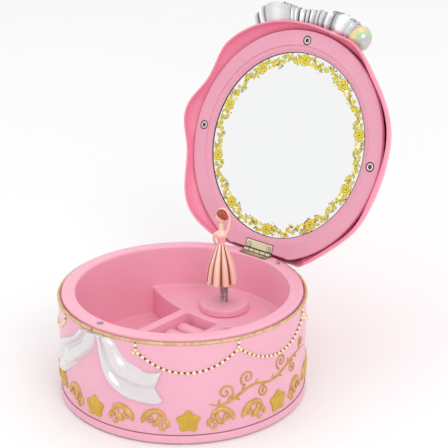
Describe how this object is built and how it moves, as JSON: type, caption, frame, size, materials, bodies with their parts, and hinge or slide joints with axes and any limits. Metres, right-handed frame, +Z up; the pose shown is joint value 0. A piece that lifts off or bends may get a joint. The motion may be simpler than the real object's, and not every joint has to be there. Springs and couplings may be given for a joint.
{
  "type": "musical jewellery box",
  "caption": "Round musical jewellery box with a hinged scalloped mirror lid, a ring tray, a wind-up movement and a dancer on a ribbed turntable.",
  "frame": {"origin": "centre of the underside, on the surface the box stands on", "axes": "+Z up, -Y to the front, +Y to the hinge at the back, +X to the right seen from the front; the lid is open"},
  "size_m": [0.1401, 0.1879, 0.1854],
  "materials": {
    "case_pink": "satin moulded pink",
    "tray_pink": "satin moulded pink",
    "lid_pink": "satin moulded pink",
    "gold_paint": "metallic gold paint",
    "pearl_paint": "glossy pearl white",
    "felt": "felt",
    "steel": "plated",
    "magnet": "nickel plated",
    "brass": "pale plated brass",
    "cast_iron": "cast",
    "mirror": "silvered",
    "backing": "card",
    "doll_paint": "painted figure",
    "satin": "pleated satin",
    "nylon": "moulded"
  },
  "bodies": {
    "case": {"outer_drum": "case_pink", "base_plate": "case_pink", "felt_pad": "felt", "base_screws": "steel", "inner_tray": "tray_pink", "ring_holder": "tray_pink", "gold_rim_trim": "gold_paint", "bead_swags": "gold_paint", "star_ornaments": "gold_paint", "scroll_ornaments": "gold_paint", "wall_flourish": "gold_paint", "ribbon_tail_left": "pearl_paint", "ribbon_tail_right": "pearl_paint", "closure_magnet": "magnet", "hinge_lower_leaf": "brass", "hinge_pin": "brass", "hinge_lower_screws": "brass", "movement_bedplate": "brass", "movement_screws": "steel", "spring_barrel": "brass", "mainspring": "steel", "cylinder_bracket": "brass", "comb_block": "cast_iron", "music_comb": "steel", "comb_screws": "steel", "governor_bracket": "brass", "stop_pin_spring": "steel"},
    "lid": {"lid_shell": "lid_pink", "lid_plate": "lid_pink", "mirror_glass": "mirror", "mirror_backing": "backing", "lid_screws": "steel", "hinge_upper_leaf": "brass", "hinge_upper_screws": "brass", "bow_loops": "pearl_paint", "bow_knot": "pearl_paint"},
    "turntable": {"turntable": "tray_pink", "winding_arbor": "steel", "crown_gear": "brass"},
    "dancer_spring": {"doll_spring": "steel"},
    "dancer": {"ballerina": "doll_paint", "doll_skirt": "satin"},
    "music_cylinder": {"pinned_cylinder": "brass", "cylinder_axle": "steel", "cylinder_pinion": "brass", "cylinder_gear": "brass"},
    "governor_wheel": {"governor_wheel": "nylon"},
    "governor_fan": {"governor_fan": "steel"},
    "stop_pin": {"stop_pin": "steel"}
  },
  "joints": [
    {"name": "lid_hinge", "type": "hinge", "parent": "case", "child": "lid", "pos_m": [0, 0.0614, 0.0573], "axis": [1, 0, 0], "range_deg": [0, 109.8]},
    {"name": "turntable_spin", "type": "hinge", "parent": "case", "child": "turntable", "pos_m": [0, 0.033, 0.033], "axis": [0, 0, 1], "continuous": true},
    {"name": "dancer_fold", "type": "hinge", "parent": "case", "child": "dancer_spring", "pos_m": [0, 0.033, 0.0412], "axis": [1, 0, 0], "range_deg": [0, 77.5], "deforming": ["doll_skirt", "doll_spring"]},
    {"name": "dancer_spin", "type": "hinge", "parent": "dancer_spring", "child": "dancer", "pos_m": [0, 0.033, 0.048], "axis": [0, 0, 1], "continuous": true},
    {"name": "cylinder_spin", "type": "hinge", "parent": "case", "child": "music_cylinder", "pos_m": [0.017, 0.033, 0.00967], "axis": [1, 0, 0], "continuous": true},
    {"name": "governor_wheel_spin", "type": "hinge", "parent": "case", "child": "governor_wheel", "pos_m": [0.0368, 0.033, 0.01767], "axis": [1, 0, 0], "continuous": true},
    {"name": "governor_fan_spin", "type": "hinge", "parent": "case", "child": "governor_fan", "pos_m": [0.0405, 0.0385, 0.02], "axis": [0, 0, 1], "continuous": true},
    {"name": "stop_pin_slide", "type": "slide", "parent": "case", "child": "stop_pin", "axis": [0, 0, 1], "range_m": [-0.00135, 0], "deforming": ["stop_pin_spring"]}
  ],
  "couplings": [
    {"joint": "dancer_fold", "follows": "lid_hinge", "ratio": 0.70128},
    {"joint": "stop_pin_slide", "follows": "lid_hinge", "m_per_rad": -0.0006784},
    {"joint": "dancer_spin", "follows": "turntable_spin", "ratio": 1},
    {"joint": "cylinder_spin", "follows": "turntable_spin", "ratio": -3},
    {"joint": "governor_wheel_spin", "follows": "turntable_spin", "ratio": 12},
    {"joint": "governor_fan_spin", "follows": "turntable_spin", "ratio": 72}
  ]
}
